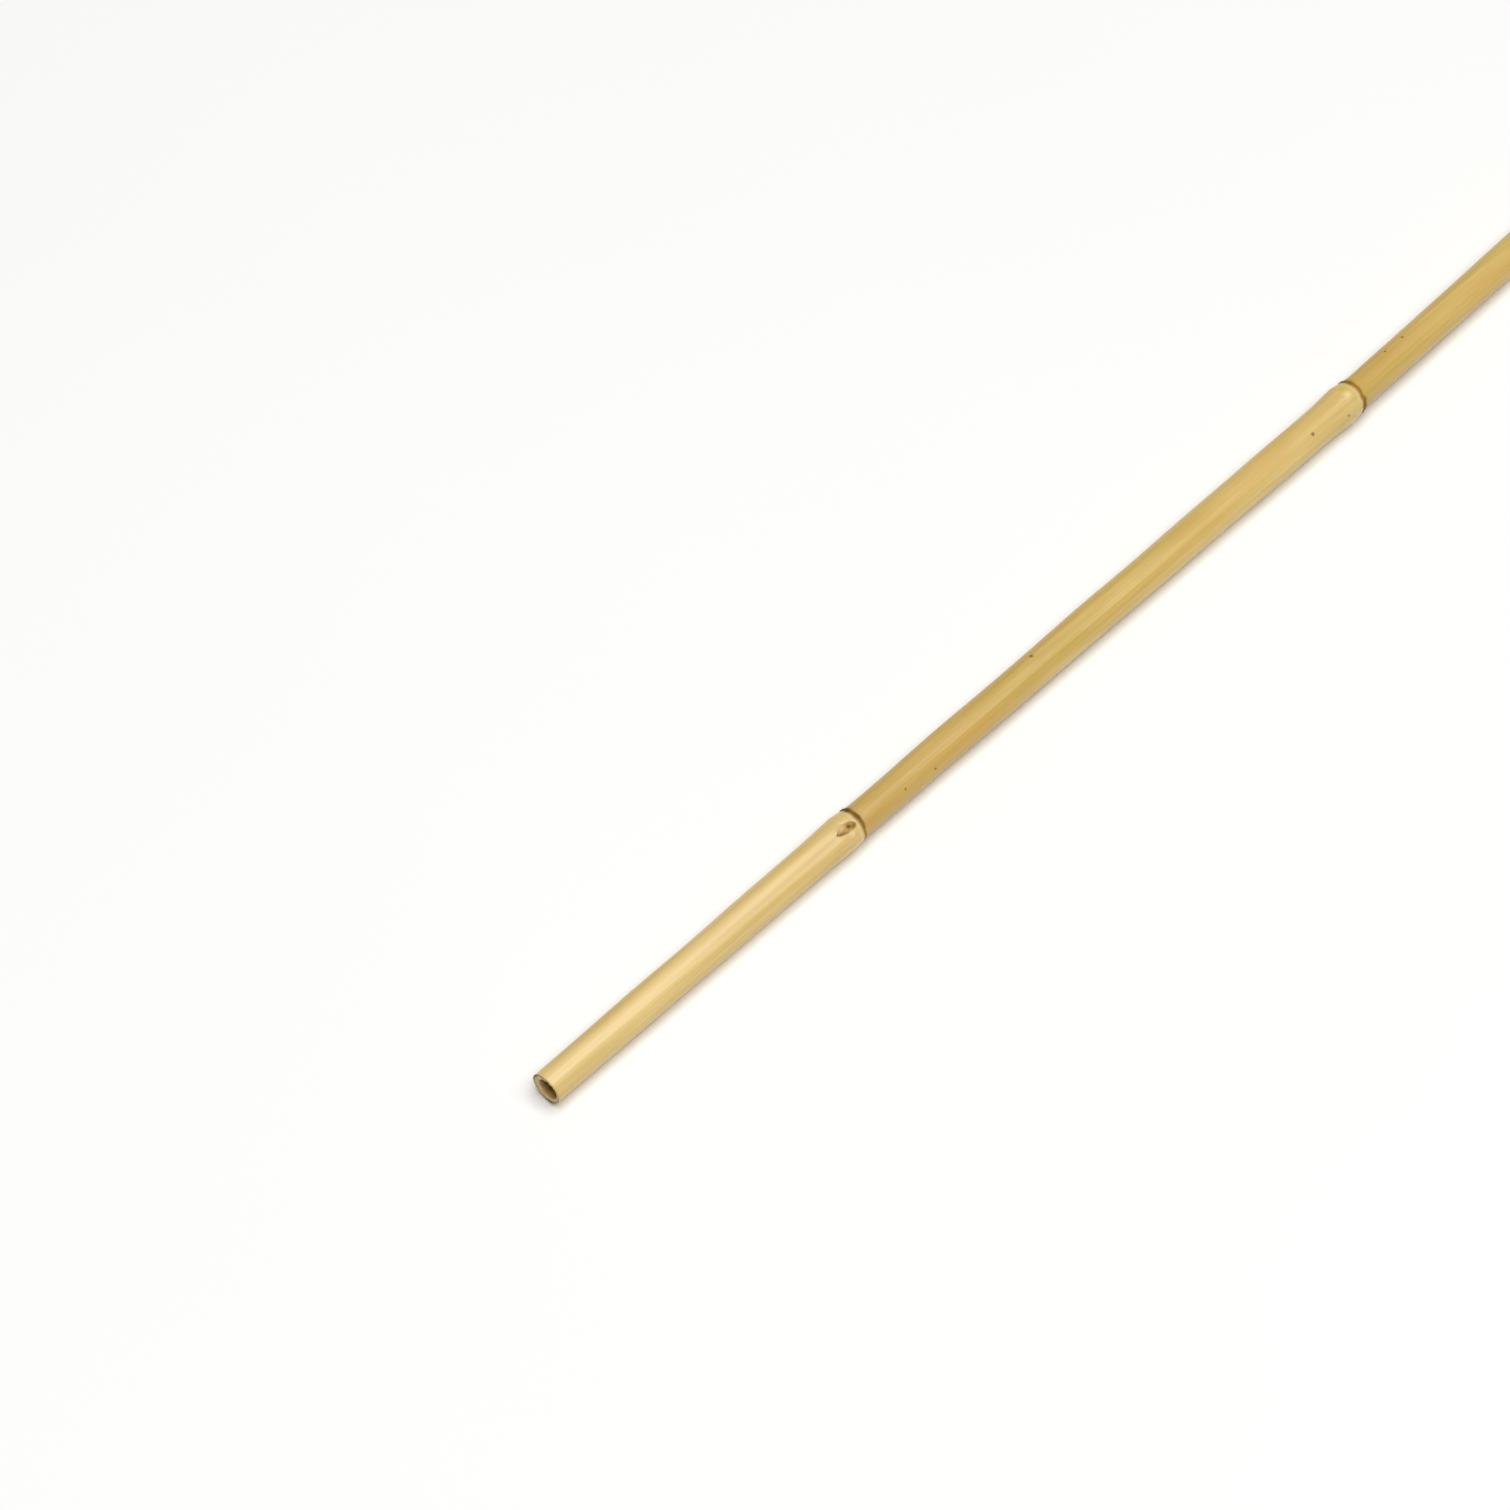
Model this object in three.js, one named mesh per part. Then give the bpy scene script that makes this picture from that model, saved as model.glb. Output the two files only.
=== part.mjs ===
// A bamboo garden cane: one length of dried culm, sawn square at both ends.
//
// It lies along X, with the thin tip end at -X and the thick butt end at +X, and rests on its three
// swollen nodes. Units are millimetres and +Z is up. Distances called "along" start at the tip's
// sawn face and run towards the butt.

import * as THREE from 'three';
import { mergeVertices } from 'three/addons/utils/BufferGeometryUtils.js';

// The whole cane

const LENGTH = 900;
const TIP_RADIUS = 5.5;
const BUTT_RADIUS = 6.15;
const OVAL = 0.012; // share by which the section is wider than it is tall
const BUD_SIDE = THREE.MathUtils.degToRad( 113 ); // first bud, from +Y towards +Z
const OTHER_SIDE = THREE.MathUtils.degToRad( 305 ); // second bud, nearly opposite

// The nodes. "along" is the place of the sheath scar, the sharp ring at each node's butt side.
// "radius" is the culm just on the butt side of it, and "step" how much thicker the culm is just on
// the tip side. "swell" is the height of the swelling there, "side" how far the centre line has
// stepped sideways, and "bud" which side of the culm carries the bud.

const NODES = [
	{ along: 138, radius: 5.58, step: 0.46, swell: 0.24, side: 0, bud: BUD_SIDE },
	{ along: 383, radius: 5.62, step: 0.68, swell: 0.4, side: 0, bud: OTHER_SIDE },
	{ along: 645, radius: 5.75, step: 0.55, swell: 0.42, side: 6, bud: BUD_SIDE }
];
const FIRST_NODE = NODES[ 0 ];
const LAST_NODE = NODES[ NODES.length - 1 ];

// A node's shape, each distance measured from the sheath scar towards the tip

const SHELF = 0.5; // share of the thickening that already stands at the scar
const SHELF_WIDTH = 0.8;
const SWELL_AT = 6; // top of the swelling
const SWELL_FADE = 6.5; // how fast the swelling sinks back into the culm
const SCAR_HEIGHT = 0.25;
const SCAR_WIDTH = 0.5; // on its tip side
const SCAR_FOOT = 2; // on its butt side

// The bud scar on the swelling, and the shallow groove that runs from it towards the tip

const BUD_AT = 6.1;
const BUD_HEIGHT = 0.45;
const BUD_LENGTH = 2.6;
const BUD_WIDTH = 0.25; // radians
const GROOVE_DEPTH = 0.2;
const GROOVE_END = 110;
const GROOVE_WIDTH = 0.3; // radians

// The hollow. It is open at each sawn end, as far as the diaphragm that closes the nearest node.

const TIP_LUMEN_RADIUS = 3.4;
const BUTT_LUMEN_RADIUS = 3.7;
const DIAPHRAGM_GAP = 5; // from the sheath scar to each side of its diaphragm
const DIAPHRAGM_DISH = 0.8; // how far its middle is sunk

// Mesh density

const SIDES = 20;
const FIRST_CORNER = Math.PI / SIDES; // turned so that one of the sides faces straight down
const NODE_ROWS = [
	8, 4, 1.1, 0.45, 0, - 0.6, - 1.6, - 3, - 4.3, - 5.6, - 7, - 8.5, - 10.5, - 14, - 18, - 23, - 29, - 37
];
const INTERNODE_ROW = 19;
const LUMEN_ROW = 35;

function smooth( value ) {

	return THREE.MathUtils.smoothstep( value, 0, 1 );

}

function bell( value ) {

	return Math.exp( - value * value );

}

// The places where a quantity is set, with straight runs between them

function along( places, values, at ) {

	const next = Math.max( 1, places.findIndex( ( place ) => at <= place ) );
	const share = ( at - places[ next - 1 ] ) / ( places[ next ] - places[ next - 1 ] );
	return THREE.MathUtils.lerp( values[ next - 1 ], values[ next ], share );

}

const PLACES = [ 0, ...NODES.map( ( node ) => node.along ), LENGTH ];
const PLAIN_RADII = [ TIP_RADIUS, ...NODES.map( ( node ) => node.radius ), BUTT_RADIUS ];
const SIDE_STEPS = [ FIRST_NODE.side, ...NODES.map( ( node ) => node.side ), LAST_NODE.side ];

// How far one node thickens the culm, the same all round. The step thins out evenly over the whole
// length of culm up to the next node or the tip.

function thickening( node, index, at ) {

	const tipwards = node.along - at;
	const left = THREE.MathUtils.clamp( 1 - tipwards / ( node.along - PLACES[ index ] ), 0, 1 );
	const shelf = SHELF * smooth( tipwards / SHELF_WIDTH + 0.5 );
	const rise = shelf + ( 1 - SHELF ) * smooth( tipwards / SWELL_AT );
	const swelling = node.swell * bell( Math.max( 0, tipwards - SWELL_AT ) / SWELL_FADE );
	const scar = SCAR_HEIGHT * bell( tipwards / ( tipwards > 0 ? SCAR_WIDTH : SCAR_FOOT ) );
	return ( node.step * left + swelling ) * rise + scar;

}

function ringRadius( at ) {

	const plain = along( PLACES, PLAIN_RADII, at );
	return NODES.reduce( ( sum, node, index ) => sum + thickening( node, index, at ), plain );

}

// What stands out of the round section, or is sunk in it, at one angle

function relief( at, angle ) {

	let height = ringRadius( at ) * OVAL * Math.cos( 2 * angle );

	for ( const node of NODES ) {

		const tipwards = node.along - at;
		const off = Math.atan2( Math.sin( angle - node.bud ), Math.cos( angle - node.bud ) );
		const fade = smooth( ( GROOVE_END - tipwards ) / GROOVE_END );
		const grooved = fade * smooth( ( tipwards - BUD_AT ) / BUD_LENGTH );
		height += BUD_HEIGHT * bell( ( tipwards - BUD_AT ) / BUD_LENGTH ) * bell( off / BUD_WIDTH );
		height -= GROOVE_DEPTH * grooved * bell( off / GROOVE_WIDTH );

	}

	return height;

}

// Each node's centre is as high as the node is deep, so that all three touch the ground

const CORNERS = Array.from( { length: SIDES }, ( _, i ) => FIRST_CORNER + i * 2 * Math.PI / SIDES );

function depth( node ) {

	const rows = NODE_ROWS.map( ( offset ) => node.along + offset );
	const depths = rows.flatMap( ( at ) =>
		CORNERS.map( ( corner ) => - ( ringRadius( at ) + relief( at, corner ) ) * Math.sin( corner ) )
	);
	return Math.max( ...depths );

}

const HEIGHTS = NODES.map( depth );
const CENTRE_HEIGHTS = [ HEIGHTS[ 0 ], ...HEIGHTS, HEIGHTS.at( - 1 ) ];

// Rows of the skin: close together at a node, and even between nodes

function skinRows() {

	const rows = [ 0 ];

	for ( const node of NODES ) {

		const nodeRows = NODE_ROWS.map( ( offset ) => node.along + offset ).reverse();
		rows.push( ...evenRows( rows.at( - 1 ), nodeRows[ 0 ], INTERNODE_ROW ), ...nodeRows );

	}

	return [ ...rows, ...evenRows( rows.at( - 1 ), LENGTH, INTERNODE_ROW ), LENGTH ];

}

function evenRows( from, to, spacing ) {

	const count = Math.max( 1, Math.round( Math.abs( to - from ) / spacing ) );
	return Array.from( { length: count - 1 }, ( _, i ) => from + ( to - from ) * ( i + 1 ) / count );

}

// Half the cane's long section, as one line: from the tip's diaphragm out along the hollow, over the
// sawn face, down the skin, over the butt's sawn face and back in to the butt's diaphragm

function longSection() {

	const tipFloor = FIRST_NODE.along - DIAPHRAGM_GAP;
	const buttFloor = LAST_NODE.along + DIAPHRAGM_GAP;
	const tipLumen = [ tipFloor, ...evenRows( tipFloor, 0, LUMEN_ROW ), 0 ];
	const buttLumen = [ LENGTH, ...evenRows( LENGTH, buttFloor, LUMEN_ROW ), buttFloor ];

	return [
		new THREE.Vector2( 0, tipFloor + DIAPHRAGM_DISH ),
		...tipLumen.map( ( at ) => new THREE.Vector2( TIP_LUMEN_RADIUS, at ) ),
		...skinRows().map( ( at ) => new THREE.Vector2( ringRadius( at ), at ) ),
		...buttLumen.map( ( at ) => new THREE.Vector2( BUTT_LUMEN_RADIUS, at ) ),
		new THREE.Vector2( 0, buttFloor - DIAPHRAGM_DISH )
	];

}

// The section turned round the axis, then drawn out along the cane's own centre line. Sections
// stay square to X, so both sawn faces are flat.

function caneGeometry() {

	const geometry = new THREE.LatheGeometry( longSection(), SIDES, FIRST_CORNER );
	const position = geometry.attributes.position;

	for ( let i = 0; i < position.count; i ++ ) {

		const at = position.getY( i );
		const angle = Math.atan2( position.getX( i ), position.getZ( i ) );
		const stretch = 1 + relief( at, angle ) / ringRadius( at );
		const radius = Math.hypot( position.getX( i ), position.getZ( i ) ) * stretch;
		const sideways = along( PLACES, SIDE_STEPS, at );
		const height = along( PLACES, CENTRE_HEIGHTS, at );
		position.setXYZ( i, at, sideways + radius * Math.cos( angle ), height + radius * Math.sin( angle ) );

	}

	return standOnOrigin( closed( geometry ) );

}

// The first and last column of a lathe lie on each other, and are made one

function closed( geometry ) {

	geometry.deleteAttribute( 'normal' );
	geometry.deleteAttribute( 'uv' );
	const merged = mergeVertices( geometry, 1e-4 );
	merged.computeVertexNormals();
	return merged;

}

// The origin is the middle of the cane's underside

function standOnOrigin( geometry ) {

	geometry.computeBoundingBox();
	const { min, max } = geometry.boundingBox;
	return geometry.translate( - ( min.x + max.x ) / 2, - ( min.y + max.y ) / 2, - min.z );

}

const straw = new THREE.MeshStandardMaterial( { color: 0xd9bf78, roughness: 0.45, metalness: 0 } );

const cane = new THREE.Mesh( caneGeometry(), straw );
cane.name = 'bamboo_cane';

const group = new THREE.Group();
group.add( cane );

export default group;
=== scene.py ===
import math

import bpy
import numpy as np
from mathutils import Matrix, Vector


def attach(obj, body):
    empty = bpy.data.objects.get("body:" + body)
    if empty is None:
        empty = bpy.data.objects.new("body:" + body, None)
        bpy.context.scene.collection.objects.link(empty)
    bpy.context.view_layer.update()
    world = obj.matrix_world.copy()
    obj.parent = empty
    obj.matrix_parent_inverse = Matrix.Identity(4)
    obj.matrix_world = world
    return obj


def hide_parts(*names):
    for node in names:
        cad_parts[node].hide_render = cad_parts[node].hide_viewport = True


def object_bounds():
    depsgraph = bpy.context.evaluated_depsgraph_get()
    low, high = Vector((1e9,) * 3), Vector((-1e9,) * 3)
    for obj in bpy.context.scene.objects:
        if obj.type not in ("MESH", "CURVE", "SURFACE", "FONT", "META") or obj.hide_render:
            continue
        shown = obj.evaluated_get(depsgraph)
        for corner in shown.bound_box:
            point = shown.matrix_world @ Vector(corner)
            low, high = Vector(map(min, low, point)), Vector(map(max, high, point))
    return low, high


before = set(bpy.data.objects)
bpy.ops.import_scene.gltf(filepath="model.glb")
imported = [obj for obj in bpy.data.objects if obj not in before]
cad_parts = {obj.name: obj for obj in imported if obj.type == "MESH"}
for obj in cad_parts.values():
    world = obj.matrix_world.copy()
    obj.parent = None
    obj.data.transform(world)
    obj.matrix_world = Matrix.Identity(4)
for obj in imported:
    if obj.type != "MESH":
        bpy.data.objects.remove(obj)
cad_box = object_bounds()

# The culm's outline
#
# The real piece is one length of dried bamboo culm with three nodes. It was cut green, stripped of
# its sheaths, dried to straw colour and sawn square at both ends. Lengths here are in millimetres
# from the thin tip end, and angles run from +Y up towards +Z.

MM = 0.001
LENGTH = 900
BUD_SIDE = math.radians(113)
OTHER_SIDE = math.radians(305)

# "along" is the place of a node's sheath scar, and "radius" the culm's on the butt side of it.
# "step" is how much thicker the culm is on the tip side, "swell" the height of the swelling there,
# "side" how far the centre line has stepped sideways, and "bud" the side that carries the bud.
# "scar" is half the width of the scar's dark band. The band is strongest on as many sides as
# "dark_sides" says, and "darkest" is one of them.

NODES = [
    {"along": 138, "radius": 5.58, "step": 0.46, "swell": 0.24, "side": 0,
     "bud": BUD_SIDE, "scar": 0.62, "dark_sides": 1, "darkest": math.radians(40)},
    {"along": 383, "radius": 5.62, "step": 0.68, "swell": 0.4, "side": 0,
     "bud": OTHER_SIDE, "scar": 0.95, "dark_sides": 2, "darkest": math.radians(205)},
    {"along": 645, "radius": 5.75, "step": 0.55, "swell": 0.42, "side": 6,
     "bud": BUD_SIDE, "scar": 0.7, "dark_sides": 1, "darkest": math.radians(80)},
]
TIP_RADIUS = 5.5
BUTT_RADIUS = 6.15
OVAL = 0.012

PLACES = [0] + [node["along"] for node in NODES] + [LENGTH]
for node, start in zip(NODES, PLACES):
    node["span"] = node["along"] - start
PLAIN_RADII = [TIP_RADIUS] + [node["radius"] for node in NODES] + [BUTT_RADIUS]


def smooth(value):
    held = np.clip(value, 0, 1)
    return held * held * (3 - 2 * held)


def bell(value):
    return np.exp(-value * value)


def apart(angle, other):
    """How far one angle is from another, the short way round."""
    return np.arctan2(np.sin(angle - other), np.cos(angle - other))


def ripple(seed, along, angle, pitch, lobes):
    """Grown unevenness of about unit height: long waves down the culm, closed round it."""
    draw = np.random.default_rng(seed)
    waves = 9
    total = np.zeros_like(along * angle)
    for _ in range(waves):
        turns = draw.integers(lobes[0], lobes[1] + 1)
        lean = draw.choice([-1, 1]) * 2 * math.pi / (pitch * draw.uniform(0.6, 1.8))
        total += np.cos(turns * angle + lean * along + draw.uniform(0, 2 * math.pi))
    return total / math.sqrt(waves / 2)


# The nodes
#
# Each node is where a leaf sheath once sat. The sheath broke off and left a thin ragged ledge, the
# scar. Above it the culm is thicker: it swells, then thins out evenly up to the next node.

SHELF = 0.5
SWELL_AT = 6
SWELL_FADE = 6.5
SCAR_HEIGHT = 0.28
CREASE_DEPTH = 0.16
RIDGE_HEIGHT = 0.1
RIDGE_AT = 5.4
LEAN = 0.3
LEAN_SIDE = math.radians(50)
WAVER = 0.08


def tipwards(node, along, angle):
    """Distance from the scar towards the tip. The scar leans and wavers a little."""
    wavering = WAVER * ripple(node["along"] + 9, along * 0, angle, 1, (1, 12))
    leaning = LEAN * np.cos(angle - LEAN_SIDE)
    return node["along"] + leaning + wavering - along


def scar_strength(node, angle):
    """From -1 where the scar is faint to 1 where it is thickest and darkest."""
    return np.cos(node["dark_sides"] * (angle - node["darkest"]))


def node_height(node, along, angle):
    up = tipwards(node, along, angle)
    left = np.clip(1 - up / node["span"], 0, 1)
    rise = SHELF * smooth(up / 0.8 + 0.5) + (1 - SHELF) * smooth(up / SWELL_AT)
    swelling = node["swell"] * bell(np.maximum(0, up - SWELL_AT) / SWELL_FADE)
    torn = 1 + 0.2 * ripple(node["along"] + 1, along * 0, angle, 1, (5, 40))
    foot = 0.5 * bell(up / 0.7) + 0.5 * bell(up / 3)
    bold = 1 + 0.4 * scar_strength(node, angle)
    ledge = SCAR_HEIGHT * torn * bold * np.where(up < 0, foot, bell(up / 0.3))
    crease = CREASE_DEPTH * bell((up - 0.85) / 0.4)
    ridge = RIDGE_HEIGHT * bell((up - RIDGE_AT) / 1.1)
    return (node["step"] * left + swelling) * rise + ledge - crease + ridge


# The bud scars
#
# Above each sheath scar sat one bud, on alternate sides up the culm. It was torn off, which left a
# hollow with a raised lip, blunt below and pointed above. A groove runs on from it up the culm.

BUD_AT = 6.1
BUD_LONG = 4.0
BUD_WIDE = 1.8
CUSHION_HEIGHT = 0.3
BUD_DEPTH = 0.42
BUD_LIP = 0.2
GROOVE_DEPTH = 0.2
GROOVE_END = 110


def bud_shield(up, across):
    """1 in the middle of the bud scar and 0 at its edge, which is blunt below and pointed above."""
    ahead = (up - BUD_AT) / BUD_LONG
    middle = -0.25 + 0.7 * np.clip(-ahead, 0, 1) ** 1.5
    torn = 1 + 0.09 * np.sin(ahead * 9 + 1) + 0.06 * np.sin(ahead * 21)
    blunt = np.where(ahead > 0, 1.3, 3)
    half_width = BUD_WIDE * torn * np.clip(1 - np.abs(ahead) ** blunt, 0, 1) ** 0.7
    return np.where(np.abs(ahead) < 1, 1 - np.abs(across - middle) / np.maximum(half_width, 0.05), -1)


def lump(up, across, spot, size):
    """A soft round lump, 1 high: its place and size are given up the culm and across it."""
    return bell((up - spot[0]) / size[0]) * bell((across - spot[1]) / size[1])


# What is left in the hollow: a dark pit, a curled flap and a stub, each with its place and size. The
# last is the middle of a band of painted shade along the hollow's lower wall, which slants across it.

PIT = ((4.7, -0.2), (0.6, 0.5))
FLAP = ((7.6, -1.2), (1.8, 0.8))
STUB = ((3.2, 0.5), (1.0, 0.8))
FOLD_SHADE = (8.3, 2.8)
FOLD_SHADE_SLANT = 0.3


def groove_share(up, across):
    grooved = smooth((up - BUD_AT) / 6) * smooth((GROOVE_END - up) / GROOVE_END)
    return grooved * bell(across / 1.1)


def bud_height(node, along, angle):
    up = tipwards(node, along, angle)
    across = apart(angle, node["bud"]) * node["radius"]
    shield = bud_shield(up, across)
    height = CUSHION_HEIGHT * lump(up, across, (BUD_AT, 0), (4.4, 2.7))
    height -= BUD_DEPTH * smooth(shield * 2.2) * (1 + 0.12 * ripple(91, along * 6, angle * 6, 9, (3, 9)))
    near = np.abs(up - BUD_AT) < BUD_LONG * 1.2
    height += BUD_LIP * bell((shield - 0.04) / 0.22) * near * (1 - 0.4 * np.tanh(across))
    height += 0.3 * lump(up, across, *FLAP) + 0.25 * lump(up, across, *STUB)
    height -= 0.35 * lump(up, across, *PIT)
    return height - GROOVE_DEPTH * groove_share(up, across)


# The skin
#
# The culm's own surface, smooth and hard. It wanders by less than a tenth of a millimetre, and
# carries faint ribs where the fibre bundles lie just under it.

WANDER = 0.05
RIBS = 0.012


def skin_radius(along, angle):
    plain = np.interp(along, PLACES, PLAIN_RADII)
    radius = plain * (1 + OVAL * np.cos(2 * angle))
    radius = radius + WANDER * ripple(11, along, angle, 55, (1, 3))
    radius = radius + RIBS * ripple(12, along, angle, 160, (16, 44))
    for node in NODES:
        radius = radius + node_height(node, along, angle) + bud_height(node, along, angle)
    return radius


# The sawn ends and the hollow
#
# A coarse saw cut the culm square, so each end is a flat ring of fibrous wall with a broken rim.
# The hollow inside is lined with dry pith, and ends at the woody diaphragm of the nearest node.

TIP_LUMEN = 3.5
BUTT_LUMEN = 3.7
DIAPHRAGM_GAP = 5
DIAPHRAGM_DISH = 0.8
TOOTH_PITCH = 0.85
TOOTH_DEPTH = 0.035
CHAMFER = 0.13
OFF_CENTRE = 1.3
THIN_SIDE = math.radians(140)
BURR_SIDE = math.radians(250)


def lumen_radius(plain, along, angle):
    """The hollow lies off centre, so the wall is thinner on one side."""
    oval = 0.035 * ripple(31, along, angle, 90, (2, 4))
    wrinkles = 0.012 * ripple(32, along, angle, 14, (9, 30))
    return plain * (1 + oval + wrinkles) + OFF_CENTRE * np.cos(angle - THIN_SIDE)


def saw_marks(seed, height, side, angle, share):
    """How far the cut face stands out along the culm: tooth marks, torn fibre and a burr."""
    teeth = TOOTH_DEPTH * np.cos(2 * math.pi * (height * 0.93 + side * 0.36) / TOOTH_PITCH)
    fibre = 0.03 * ripple(seed, share * 9, angle, 3, (11, 47))
    burr = 0.22 * bell(apart(angle, BURR_SIDE) / 0.5) * smooth((share - 0.8) / 0.2)
    torn = np.clip(ripple(seed + 1, share * 0, angle, 1, (9, 37)), 0, 2)
    return teeth + fibre + burr * (0.4 + torn)


# The mesh
#
# One closed surface, made as rings of points: out of the tip's hollow, over the sawn face, along
# the skin, over the butt's sawn face and into its hollow. Points lie closer at nodes and buds.

AROUND = 128
SKIN, SAWN, WALL, DIAPHRAGM = 0, 1, 2, 3
SIDE_STEPS = [-0.35] + [node["side"] for node in NODES] + [NODES[-1]["side"]]

even = np.arange(AROUND) * 2 * math.pi / AROUND
angles = even - 0.21 * np.sin(2 * (even - BUD_SIDE))


def skin_rows():
    """Rows 0.28 mm apart across each node and at the ends, and up to 2.2 mm apart between."""
    rows = [CHAMFER]
    while rows[-1] < LENGTH - CHAMFER:
        here = rows[-1]
        from_nodes = [max(here - node["along"] - 2.5, node["along"] - 11 - here, 0) for node in NODES]
        from_ends = [here, LENGTH - here]
        rows.append(here + min(0.28 + 0.12 * min(from_nodes + from_ends), 2.2))
    rows[-1] = LENGTH - CHAMFER
    return np.array(rows)


def ring(along, radius, kind, share=0):
    """One ring of points: its finish, and how far it is from the hollow's edge to the skin."""
    full = np.zeros(AROUND)
    return {"along": along + full, "radius": radius + full, "kind": kind, "share": share}


def hollow_rings(mouth, floor, plain):
    """From the middle of the diaphragm, out over it and along the wall to the mouth."""
    inwards = math.copysign(1, floor - mouth)
    rings = []
    for share in np.linspace(0.06, 0.97, 12):
        dish = DIAPHRAGM_DISH * (1 - share * share) * inwards
        lumpy = 0.05 * ripple(41, share * 12, angles, 6, (2, 7)) * share
        edge = lumen_radius(plain, floor, angles)
        rings.append(ring(floor + dish + lumpy, share * edge, DIAPHRAGM))
    depth = abs(floor - mouth)
    for step in np.linspace(0, 1, 26):
        inside = 0.1 + (depth - 0.4) * (1 - step) ** 2.2
        wall = lumen_radius(plain, inside, angles) + 0.1 * bell(inside / 0.2)
        rings.append(ring(mouth + inwards * inside, wall, WALL))
    return rings


def sawn_rings(mouth, plain, seed):
    """From the hollow's edge out to the skin, across the saw cut."""
    outwards = -1 if mouth == 0 else 1
    inner = lumen_radius(plain, 0.1, angles) + 0.16
    outer = skin_radius(np.full(AROUND, float(abs(mouth - CHAMFER))), angles) - CHAMFER
    rings = []
    for share in np.linspace(0, 1, 14):
        radius = inner + (outer - inner) * share
        marks = saw_marks(seed, radius * np.sin(angles), radius * np.cos(angles), angles, share)
        rings.append(ring(mouth + outwards * marks, radius, SAWN, share))
    return rings


tip_floor = NODES[0]["along"] - DIAPHRAGM_GAP
butt_floor = NODES[-1]["along"] + DIAPHRAGM_GAP
tip_rings = hollow_rings(0, tip_floor, TIP_LUMEN) + sawn_rings(0, TIP_LUMEN, 51)
butt_rings = hollow_rings(LENGTH, butt_floor, BUTT_LUMEN) + sawn_rings(LENGTH, BUTT_LUMEN, 61)
skin_rings = [ring(row, skin_radius(np.full(AROUND, row), angles), SKIN, 1) for row in skin_rows()]
rings = tip_rings + skin_rings + butt_rings[::-1]

along = np.array([one["along"] for one in rings])
radius = np.array([one["radius"] for one in rings])
angle = np.broadcast_to(angles, along.shape)

# The cane rests on its nodes, so each node's centre is as high as its lowest point is deep.


def rest_height(node):
    rows = node["along"] - np.linspace(0, 14, 57)[:, None]
    return np.max(-skin_radius(rows, angles[None, :]) * np.sin(angles))


rests = [rest_height(node) for node in NODES]
centre_side = np.interp(along, PLACES, SIDE_STEPS)
centre_height = np.interp(along, PLACES, [rests[0]] + rests + [rests[-1]])
sideways = centre_side + radius * np.cos(angle)
upwards = centre_height + radius * np.sin(angle)

# Rings are joined into faces, and one point closes the middle of each diaphragm.

tip_middle = [tip_floor + DIAPHRAGM_DISH, centre_side[0, 0], centre_height[0, 0]]
butt_middle = [butt_floor - DIAPHRAGM_DISH, centre_side[-1, 0], centre_height[-1, 0]]
points = np.stack([along, sideways, upwards], -1).reshape(-1, 3)
points = np.vstack([points, [tip_middle, butt_middle]])
low, high = (np.array(corner) / MM for corner in cad_box)
points -= (points.min(0) + points.max(0)) / 2 - [0, 0, points.max(0)[2] / 2]
points += [(low[0] + high[0]) / 2, (low[1] + high[1]) / 2, low[2]]

turn = len(tip_rings) + len(skin_rings) - 1
strips = [one["kind"] for one in rings[:turn]] + [one["kind"] for one in rings[turn + 1:]]
faces = []
for row in range(len(strips)):
    for column in range(AROUND):
        here, there = row * AROUND, (row + 1) * AROUND
        following = (column + 1) % AROUND
        faces.append((here + column, here + following, there + following, there + column))
first_middle, last_middle = len(rings) * AROUND, len(rings) * AROUND + 1
last = (len(rings) - 1) * AROUND
for column in range(AROUND):
    following = (column + 1) % AROUND
    faces.append((following, column, first_middle))
    faces.append((last + column, last + following, last_middle))

# The diaphragms have the same pith lining as the wall of the hollow.

finishes = np.repeat(np.minimum(strips, WALL), AROUND).tolist() + [WALL] * 2 * AROUND

mesh = bpy.data.meshes.new("culm")
mesh.from_pydata((points * MM).tolist(), [], faces)
mesh.polygons.foreach_set("material_index", finishes)
mesh.shade_smooth()
mesh.set_sharp_from_angle(angle=math.radians(38))
culm = bpy.data.objects.new("culm", mesh)
bpy.context.scene.collection.objects.link(culm)

# The flat layout of the surface, for a finish to be painted on. The skin is cut into five lengths
# laid side by side, and the sawn faces, hollows and diaphragms lie under them. Sizes are shares of
# the sheet. "START" is where the first patch of an end lies, and "TO" how far on the others are.

LENGTHS = 5
MARGIN = 0.006
STRIP_HIGH = 0.166
STRIP_STEP = 0.176
PATCH = 0.104
TIP_START = 0.06
BUTT_START = 0.56
TO_WALL = 0.062
WALL_LONG = 0.26
TO_DIAPHRAGM = 0.385
columns = np.append(angles, angles[0] + 2 * math.pi)
turned = (columns - angles[0]) / (2 * math.pi)
ring_along = np.hstack([along, along[:, :1]])
ring_radius = np.hstack([radius, radius[:, :1]])
corners = [(0, 0), (0, 1), (1, 1), (1, 0)]


def flat_disc(row, centre, widest):
    """Seen along the culm, and fitted into a square patch."""
    scale = PATCH / 2 / widest
    across = centre[0] + ring_radius[row] * np.cos(columns) * scale
    return np.stack([across, centre[1] + ring_radius[row] * np.sin(columns) * scale], -1)


def flat_skin(row, piece):
    """Rolled out flat, and laid on the strip for that length of culm."""
    across = MARGIN + (ring_along[row] / LENGTH * LENGTHS - piece) * (1 - 3 * MARGIN)
    return np.stack([across, 1 - MARGIN - STRIP_HIGH - piece * STRIP_STEP + turned * STRIP_HIGH], -1)


def flat_wall(row, mouth, floor, start):
    """Rolled out flat, with more room for what lies near the mouth."""
    inside = np.abs(ring_along[row] - mouth) / abs(floor - mouth)
    return np.stack([start + WALL_LONG * np.sqrt(inside), MARGIN + turned * PATCH], -1)


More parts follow.
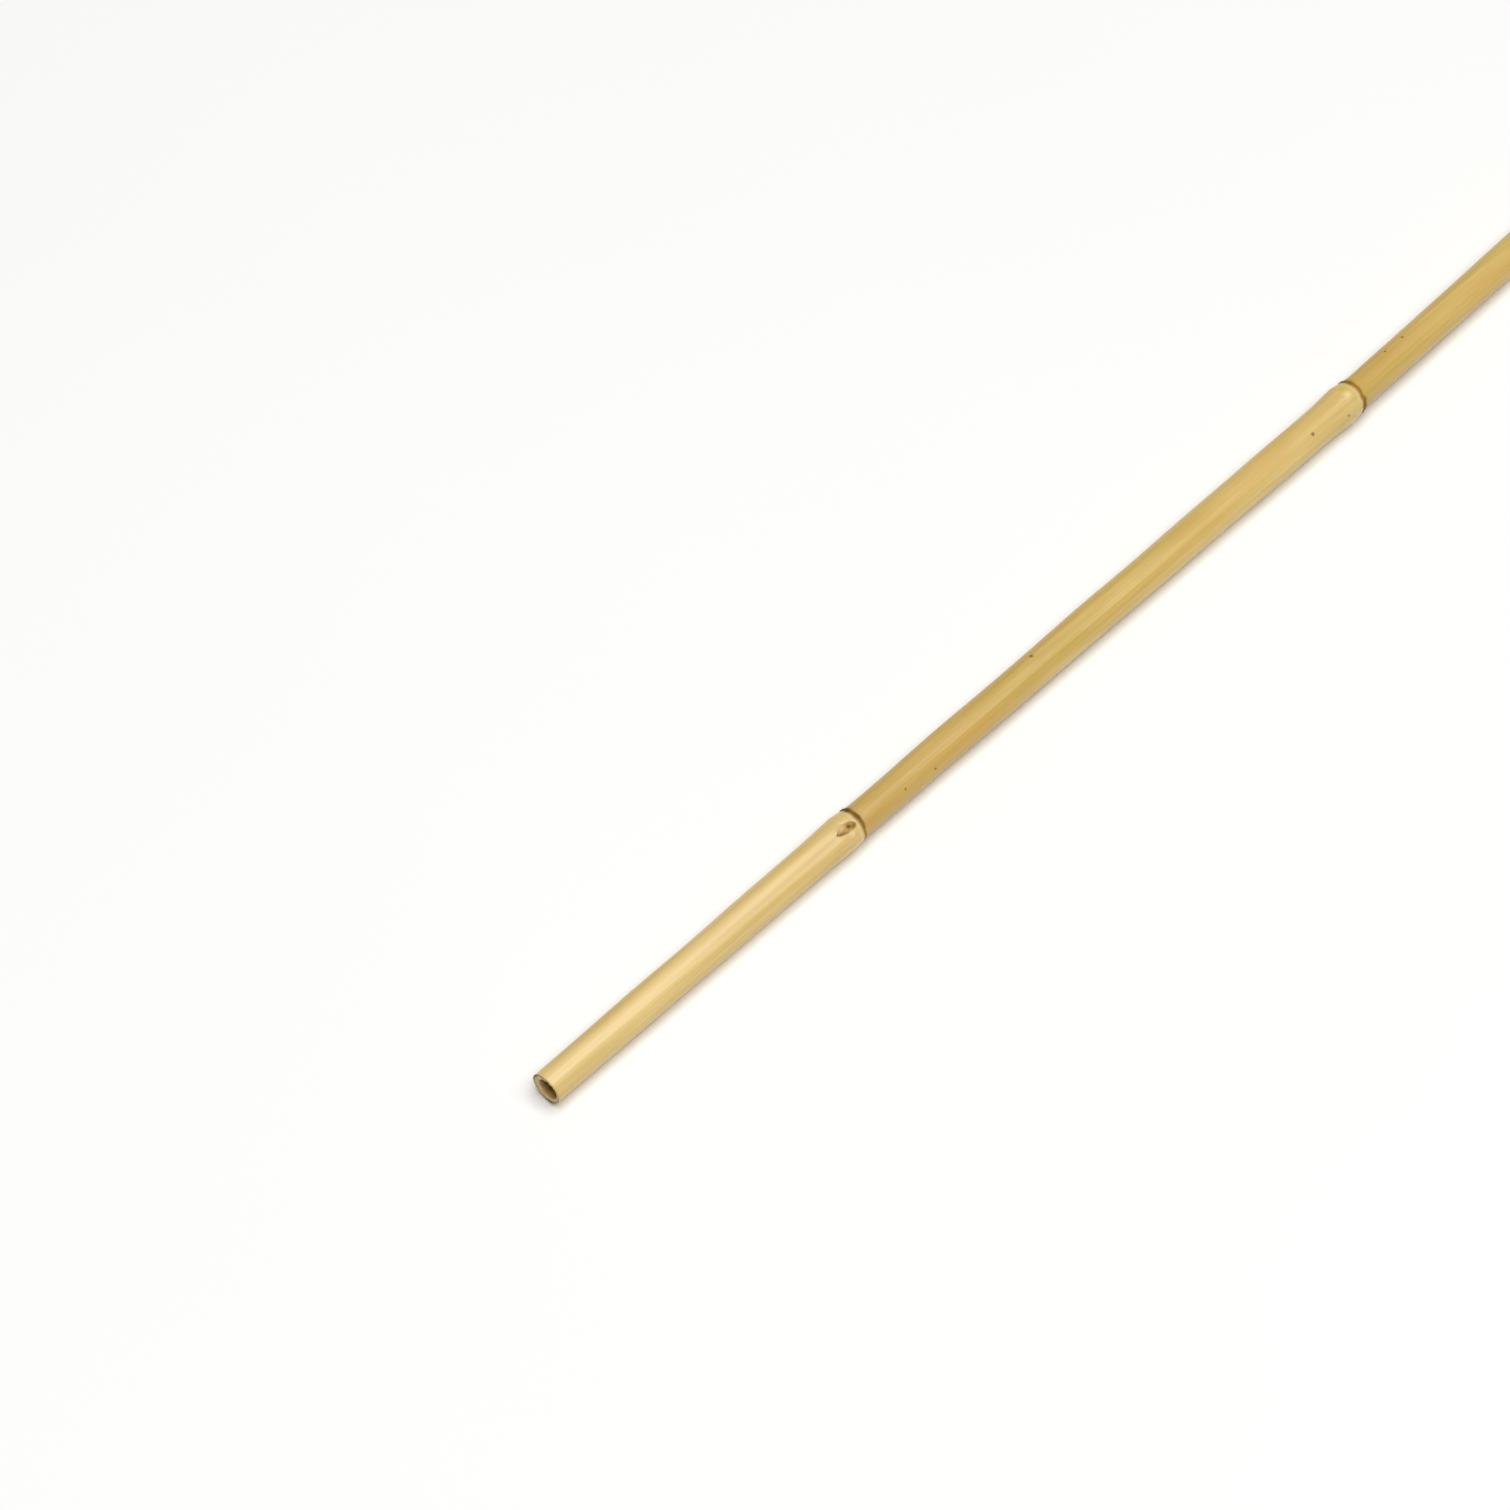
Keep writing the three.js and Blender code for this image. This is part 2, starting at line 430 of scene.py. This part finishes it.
layout = []
for row, kind in enumerate(strips):
    at_tip = row < turn // 2
    mouth, floor = (0, tip_floor) if at_tip else (LENGTH, butt_floor)
    start = TIP_START if at_tip else BUTT_START
    piece = min(int(along[row, 0] / LENGTH * LENGTHS), LENGTHS - 1)
    edges = []
    for edge in (row, row + 1):
        if kind == SKIN:
            edges.append(flat_skin(edge, piece))
        elif kind == SAWN:
            edges.append(flat_disc(edge, (start, MARGIN + PATCH / 2), BUTT_RADIUS * 1.1))
        elif kind == DIAPHRAGM:
            middle = (start + TO_DIAPHRAGM, MARGIN + PATCH / 2)
            edges.append(flat_disc(edge, middle, BUTT_LUMEN * 1.3))
        else:
            edges.append(flat_wall(edge, mouth, floor, start + TO_WALL))
    for column in range(AROUND):
        layout += [edges[down][column + right] for down, right in corners]
for column in range(AROUND):
    for row, start in ((0, TIP_START), (len(strips), BUTT_START)):
        middle = (start + TO_DIAPHRAGM, MARGIN + PATCH / 2)
        rim = flat_disc(row, middle, BUTT_LUMEN * 1.3)
        ends = (column + 1, column) if row == 0 else (column, column + 1)
        layout += [rim[ends[0]], rim[ends[1]], np.array(middle)]
flat = mesh.uv_layers.new(name="OFBake")
flat.data.foreach_set("uv", np.array(layout, np.float32).ravel())

# Marks left by growth, and painted highlights and shade, kept on the mesh for the finishes to read: each
# runs from 0 to 1.


def keep(name, values, middles=(0, 0)):
    stored = mesh.attributes.new(name, "FLOAT", "POINT")
    stored.data.foreach_set("value", np.append(values.ravel(), middles).astype(np.float32))


on_skin = np.array([one["kind"] == SKIN for one in rings])[:, None]
marks = {}
for node in NODES:
    up = tipwards(node, along, angle)
    across = apart(angle, node["bud"]) * node["radius"]
    shield = bud_shield(up, across)
    uneven = ripple(node["along"] + 5, along * 0, angle, 1, (2, 9))
    thick = node["scar"] * (1 + 0.25 * scar_strength(node, angle) + 0.08 * uneven)
    scar = np.clip(1.2 * np.where(up < 0, bell(up / thick), bell(up / thick / 1.3)), 0, 1)
    opposite = apart(angle, node["bud"] + math.pi) * node["radius"]
    around_bud = bell((shield + 0.18) / 0.3) * (np.abs(up - BUD_AT) < BUD_LONG * 1.3)
    # Painted shade along the bud hollow's lower wall.
    fold_shade = lump(up, across + FOLD_SHADE_SLANT * up, FOLD_SHADE, (2, 0.5))
    found = {
        "sheath_scar": scar,
        "scar_burnt": scar * np.clip(0.25 + 0.2 * uneven + 0.6 * scar_strength(node, angle), 0, 1),
        "bud_scar": smooth(shield * 2.4),
        "bud_pit": lump(up, across, PIT[0], (0.9, 0.7)),
        "bud_shade_and_stub": fold_shade + lump(up, across, STUB[0], (1.1, 0.8)),
        "bud_flap": lump(up, across, *FLAP),
        # Painted highlight on the lit lip of each bud scar and on its lit notch.
        "bud_rim_highlight": around_bud * smooth(0.4 - across / 2) + lump(up, across, (5.4, 2.2), (1.1, 0.6)),
        # Painted shade in the groove above each bud.
        "groove_shade": groove_share(up, across / 0.7),
        # A painted highlight on the swelling, on the side away from the bud; on the second node that side
        # is the top.
        "swelling_highlight": lump(up, opposite, (4.9, -2.3), (1.3, 1.1)),
        "green_spot": lump(up, opposite, (4.4, -4.6), (1.8, 1.4)),
        # Painted highlight along the thin ridge just above each sheath scar.
        "collar_edge_highlight": bell((up - 1.8) / 0.6),
        "node_collar": smooth((up - 0.6) / 1.5) * smooth((12 - up) / 7),
        "below_node": smooth((-up - 0.3) / 1.2) * bell(np.maximum(-up, 0) / 34),
    }
    for name, values in found.items():
        marks[name] = np.maximum(marks.get(name, 0), values)
for name, values in marks.items():
    keep(name, np.clip(values, 0, 1) * on_skin)

# How far each length between nodes has ripened, from pale straw to ochre, and how near the saw is.

RIPE_AT = {0: 0.04, 136: 0.08, 139: 0.72, 240: 0.66, 350: 0.1, 381: 0.2, 384: 0.5,
           580: 0.62, 643: 0.6, 647: 0.72, 900: 0.8}
EDGE_WORN = 0.7
DEEP_INSIDE = 40
keep("ripeness", np.interp(along, list(RIPE_AT), list(RIPE_AT.values())))
# A paler band along the top of the tip length: a painted highlight where the soft box lights it.
keep("painted_top_highlight", bell(apart(angle, math.radians(100)) / 0.5) * smooth((150 - along) / 30))
keep("wall_share", np.array([one["share"] for one in rings])[:, None] + 0 * along)
keep("dark_rim", bell(apart(angle, math.radians(30)) / 0.6) + bell(apart(angle, math.radians(250)) / 0.9))
depth = np.minimum(np.abs(along), np.abs(along - LENGTH))
keep("sawn_edge", bell(depth / EDGE_WORN) * on_skin)
# How deep into the hollow a point lies, which the lining's painted shade and light follow.
keep("inside", np.clip(depth / DEEP_INSIDE, 0, 1) * (1 - on_skin), (1, 1))


# Dried culm skin
#
# The hard outer skin of bamboo, rich in silica: it dries to straw and ochre with a soft gloss.
# Fibre bundles under it show as fine streaks, and damp and rubbing leave brown flecks.


def linear(colour):
    """An sRGB hex colour as the linear values that a shader takes."""
    parts = [int(colour[start:start + 2], 16) / 255 for start in (1, 3, 5)]
    return [p / 12.92 if p <= 0.04045 else ((p + 0.055) / 1.055) ** 2.4 for p in parts] + [1]


def add(tree, kind, sockets, out=0, **settings):
    """Adds one shader node with its settings and links, and gives back one of its outputs."""
    node = tree.nodes.new("ShaderNode" + kind)
    for name, value in settings.items():
        setattr(node, name, value)
    for socket, value in sockets.items():
        if isinstance(value, bpy.types.NodeSocket):
            tree.links.new(value, node.inputs[socket])
        else:
            node.inputs[socket].default_value = value
    return node.outputs[out]


skin = bpy.data.materials.new("dried_culm_skin")
skin.use_nodes = True
tree = skin.node_tree
shader = tree.nodes["Principled BSDF"]
place = add(tree, "TexCoord", {}, out="Object")
read = {name: add(tree, "Attribute", {}, out="Fac", attribute_name=name)
        for name in list(marks) + ["ripeness", "painted_top_highlight", "sawn_edge"]}

# Each kind of unevenness in the skin: how long and how wide it is in millimetres, and its detail.

for name, long, wide, detail in (
    ("streaks", 140, 0.8, 3),
    ("fibres", 60, 0.3, 1),
    ("clouds", 40, 5, 3),
    ("patches", 110, 9, 2),
):
    scale = (1 / (long * MM), 1 / (wide * MM), 1 / (wide * MM))
    spot = add(tree, "Mapping", {"Vector": place, "Scale": scale, "Location": (wide, long, wide)})
    read[name] = add(tree, "TexNoise", {"Vector": spot, "Scale": 1.0, "Detail": detail})

# The colours, each laid over the last: what it follows, the values between which it comes in, how
# strong it gets, and the colour.

cloudy = add(tree, "MapRange", {0: read["clouds"], 1: 0.3, 2: 0.7, 3: -0.12, 4: 0.12})
read["ripe"] = add(tree, "Math", {0: read["ripeness"], 1: cloudy}, operation="ADD")
colour = linear("#E0C17A")
for name, start, full, strength, tint in (
    ("ripe", 0, 0.5, 1, "#D6B567"),
    ("ripe", 0.5, 1, 1, "#C6A053"),
    ("patches", 0.48, 0.72, 0.45, "#BBA548"),
    ("clouds", 0.52, 0.75, 0.3, "#CFA24E"),
    ("clouds", 0.47, 0.28, 0.3, "#EBD08C"),
    ("streaks", 0.46, 0.72, 0.2, "#B08838"),
    ("streaks", 0.5, 0.25, 0.15, "#F0D898"),
    ("fibres", 0.5, 0.8, 0.15, "#A07C38"),
    ("below_node", 0, 1, 0.35, "#BC9440"),
    ("node_collar", 0, 1, 0.35, "#E2C47E"),
    ("green_spot", 0, 1, 0.75, "#CDBB3A"),
    # Painted highlight on top of the second node's swelling.
    ("swelling_highlight", 0, 1, 0.8, "#F6DF9E"),
    # Painted highlight just above each sheath scar.
    ("collar_edge_highlight", 0, 1, 0.35, "#F3DCA4"),
    # Painted highlight along the top of the tip length.
    ("painted_top_highlight", 0, 1, 0.5, "#FBE0A6"),
    # Painted shade in the groove above each bud.
    ("groove_shade", 0, 1, 0.4, "#B08B4A"),
    # Painted highlight on the bud scar's lit lip and notch.
    ("bud_rim_highlight", 0, 1, 0.6, "#FBE2AE"),
    ("bud_scar", 0, 1, 0.9, "#AE863C"),
    ("bud_flap", 0.1, 0.8, 0.9, "#E0BC7C"),
    # Painted shade on the bud hollow's lower wall, and the stub's own dark brown.
    ("bud_shade_and_stub", 0.1, 0.9, 0.85, "#845C16"),
    ("bud_pit", 0.1, 0.8, 0.9, "#6E4804"),
    ("sheath_scar", 0, 1, 1, "#976D06"),
    ("scar_burnt", 0, 1, 0.85, "#563800"),
    ("sawn_edge", 0, 1, 0.1, "#8B7440"),
):
    share = add(tree, "MapRange", {0: read[name], 1: start, 2: full, 3: 0, 4: strength})
    colour = add(tree, "Mix", {0: share, 6: colour, 7: linear(tint)}, out=2, data_type="RGBA")

# A few damp flecks: how far along the culm, how far round it in degrees, and how wide.

FLECKS = [(157, 140, 0.7), (171, 155, 0.8), (224, 73, 1.3), (357, 125, 1.3), (374, 155, 0.8),
          (402, 40, 0.9), (403, 70, 0.8), (410, 75, 0.9), (468, 200, 1.1), (531, 320, 1.2),
          (590, 100, 1.0), (702, 60, 1.2), (748, 230, 1.1), (815, 130, 1.3)]
for at, degrees, wide in FLECKS:
    row = np.argmin(np.abs(along[:, 0] - at) + 999 * (1 - on_skin[:, 0]))
    column = np.argmin(np.abs(apart(angles, math.radians(degrees))))
    centre = tuple(points[row * AROUND + column] * MM)
    away = add(tree, "VectorMath", {0: place, 1: centre}, out="Value", operation="DISTANCE")
    ragged = add(tree, "Math", {0: read["fibres"], 1: 0.5 * MM, 2: away}, operation="MULTIPLY_ADD")
    near, far = (0.35 * wide + 0.2) * MM, (0.6 * wide + 0.4) * MM
    share = add(tree, "MapRange", {0: ragged, 1: far, 2: near, 3: 0, 4: 0.8})
    colour = add(tree, "Mix", {0: share, 6: colour, 7: linear("#7A5426")}, out=2, data_type="RGBA")
tree.links.new(colour, shader.inputs["Base Color"])

dull = add(tree, "MapRange", {0: read["streaks"], 1: 0.3, 2: 0.7, 3: 0.3, 4: 0.42})
for name, more in (("sheath_scar", 0.3), ("bud_scar", 0.25)):
    dull = add(tree, "Math", {0: read[name], 1: more, 2: dull}, operation="MULTIPLY_ADD")
tree.links.new(dull, shader.inputs["Roughness"])
shader.inputs["IOR"].default_value = 1.5
ribbed = add(tree, "Math", {0: read["fibres"], 1: 0.6, 2: read["streaks"]}, operation="MULTIPLY_ADD")
bump = add(tree, "Bump", {"Strength": 0.5, "Distance": 0.02 * MM, "Height": ribbed})
tree.links.new(bump, shader.inputs["Normal"])

# Sawn culm wall
#
# The cut end of the wall: pale ground tissue dotted with dark fibre bundles, which crowd together
# towards the skin. The saw leaves it rough and matt, and handling has darkened its rim.

sawn = bpy.data.materials.new("sawn_culm_wall")
sawn.use_nodes = True
tree = sawn.node_tree
shader = tree.nodes["Principled BSDF"]
place = add(tree, "TexCoord", {}, out="Object")
read = {name: add(tree, "Attribute", {}, out="Fac", attribute_name=name)
        for name in ("wall_share", "dark_rim")}
scale = (1 / (30 * MM), 1 / (0.42 * MM), 1 / (0.42 * MM))
spot = add(tree, "Mapping", {"Vector": place, "Scale": scale})
read["bundles"] = add(tree, "TexVoronoi", {"Vector": spot, "Scale": 1.0}, out="Distance")
read["dust"] = add(tree, "TexNoise", {"Vector": place, "Scale": 1 / (1.3 * MM), "Detail": 4.0})
outer = {0: read["dark_rim"], 1: 0.32, 2: read["wall_share"]}
read["rim"] = add(tree, "Math", outer, operation="MULTIPLY_ADD")
colour = linear("#DEC29A")
for name, start, full, strength, tint in (
    ("wall_share", 0.1, 0.8, 0.5, "#BFA176"),
    ("dust", 0.5, 0.3, 0.7, "#E6D4B2"),
    ("bundles", 0.42, 0.18, 0.5, "#7C5A2C"),
    ("dust", 0.5, 0.75, 0.4, "#85683E"),
    ("rim", 0.97, 1.2, 0.9, "#5E5630"),
):
    share = add(tree, "MapRange", {0: read[name], 1: start, 2: full, 3: 0, 4: strength})
    colour = add(tree, "Mix", {0: share, 6: colour, 7: linear(tint)}, out=2, data_type="RGBA")
tree.links.new(colour, shader.inputs["Base Color"])
shader.inputs["Roughness"].default_value = 0.85
shader.inputs["IOR"].default_value = 1.45
coarse = add(tree, "Math", {0: read["bundles"], 1: 0.5, 2: read["dust"]}, operation="MULTIPLY_ADD")
bump = add(tree, "Bump", {"Strength": 0.7, "Distance": 0.08 * MM, "Height": coarse})
tree.links.new(bump, shader.inputs["Normal"])

# Pith lining
#
# The papery dry pith that lines the hollow: brown, dull, and wrinkled along the culm as it shrank.

pith = bpy.data.materials.new("pith_lining")
pith.use_nodes = True
tree = pith.node_tree
shader = tree.nodes["Principled BSDF"]
place = add(tree, "TexCoord", {}, out="Object")
read = {"inside": add(tree, "Attribute", {}, out="Fac", attribute_name="inside")}
for name, long, wide in (("wrinkles", 9, 0.5), ("stains", 8, 2)):
    scale = (1 / (long * MM), 1 / (wide * MM), 1 / (wide * MM))
    spot = add(tree, "Mapping", {"Vector": place, "Scale": scale, "Location": (wide, long, wide)})
    read[name] = add(tree, "TexNoise", {"Vector": spot, "Scale": 1.0, "Detail": 3.0})
colour = linear("#C0954C")
for name, start, full, strength, tint in (
    ("wrinkles", 0.35, 0.7, 0.9, "#946722"),
    ("stains", 0.45, 0.7, 0.5, "#704A14"),
    # Darker deeper in the hollow is painted shade, and paler near the mouth is painted light.
    ("inside", 0, 0.3, 0.5, "#7A5214"),
    ("inside", 0.05, 0, 0.6, "#D2B47C"),
):
    share = add(tree, "MapRange", {0: read[name], 1: start, 2: full, 3: 0, 4: strength})
    colour = add(tree, "Mix", {0: share, 6: colour, 7: linear(tint)}, out=2, data_type="RGBA")
tree.links.new(colour, shader.inputs["Base Color"])
shader.inputs["Roughness"].default_value = 0.9
shader.inputs["IOR"].default_value = 1.45
bump = add(tree, "Bump", {"Strength": 0.7, "Distance": 0.1 * MM, "Height": read["wrinkles"]})
tree.links.new(bump, shader.inputs["Normal"])

for finish in (skin, sawn, pith):
    mesh.materials.append(finish)
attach(culm, "root")
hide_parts("bamboo_cane")

# The floor
#
# A plain matt white studio paper, with clouds of tone too faint to notice. The paper's size is in
# metres and the clouds' width in millimetres.

FLOOR_SIZE = 6
CLOUD_WIDE = 333

paper = bpy.data.materials.new("white_studio_paper")
paper.use_nodes = True
tree = paper.node_tree
shader = tree.nodes["Principled BSDF"]
place = add(tree, "TexCoord", {}, out="Object")
tone = add(tree, "TexNoise", {"Vector": place, "Scale": 1 / (CLOUD_WIDE * MM), "Detail": 2.0})
share = add(tree, "MapRange", {0: tone, 1: 0.3, 2: 0.7})
white = add(tree, "Mix", {0: share, 6: linear("#FAFAF8"), 7: linear("#FBFBFA")}, out=2, data_type="RGBA")
tree.links.new(white, shader.inputs["Base Color"])
shader.inputs["Roughness"].default_value = 0.9
corner = FLOOR_SIZE / 2
floor_mesh = bpy.data.meshes.new("floor")
square = [(-corner, -corner, 0), (corner, -corner, 0), (corner, corner, 0), (-corner, corner, 0)]
floor_mesh.from_pydata(square, [], [(0, 1, 2, 3)])
floor_mesh.materials.append(paper)
floor = bpy.data.objects.new("floor", floor_mesh)
bpy.context.scene.collection.objects.link(floor)

# The light
#
# Weak white room light from all round, and one wide soft box high overhead. Its place and size are
# in metres and its power in watts.

ROOM_LIGHT = 0.16
SOFT_BOX_SIZE = 4
SOFT_BOX_PLACE = (-0.3, -0.8, 4)
SOFT_BOX_TILT = math.radians(11)
SOFT_BOX_POWER = 194

world = bpy.data.worlds.new("studio")
world.use_nodes = True
world.node_tree.nodes["Background"].inputs["Color"].default_value = (1, 1, 1, 1)
world.node_tree.nodes["Background"].inputs["Strength"].default_value = ROOM_LIGHT
bpy.context.scene.world = world

key = bpy.data.lights.new("soft_box", "AREA")
key.shape = "RECTANGLE"
key.size, key.size_y = SOFT_BOX_SIZE, SOFT_BOX_SIZE
key.energy = SOFT_BOX_POWER
key_object = bpy.data.objects.new("soft_box", key)
key_object.location = SOFT_BOX_PLACE
key_object.rotation_euler = (SOFT_BOX_TILT, 0, 0)
bpy.context.scene.collection.objects.link(key_object)
bpy.context.scene.view_settings.view_transform = "Standard"

# The camera
#
# A long lens that looks down on the cane from its tip end, with the butt end out of view.

VIEW_AZIMUTH = math.radians(-46.39)
VIEW_ELEVATION = math.radians(53)
VIEW_DISTANCE = 1.815
VIEW_POINT = (-0.30991, 0.04182, 0)
LENS_LONG = 135

lens = bpy.data.cameras.new("camera")
lens.sensor_width = 36
lens.lens = LENS_LONG
camera = bpy.data.objects.new("camera", lens)
level = math.cos(VIEW_ELEVATION)
back = (math.sin(VIEW_AZIMUTH) * level, -math.cos(VIEW_AZIMUTH) * level, math.sin(VIEW_ELEVATION))
camera.location = [start + VIEW_DISTANCE * step for start, step in zip(VIEW_POINT, back)]
camera.rotation_euler = (math.pi / 2 - VIEW_ELEVATION, 0, VIEW_AZIMUTH)
lens.clip_start, lens.clip_end = 0.05, 50
bpy.context.scene.collection.objects.link(camera)
bpy.context.scene.camera = camera
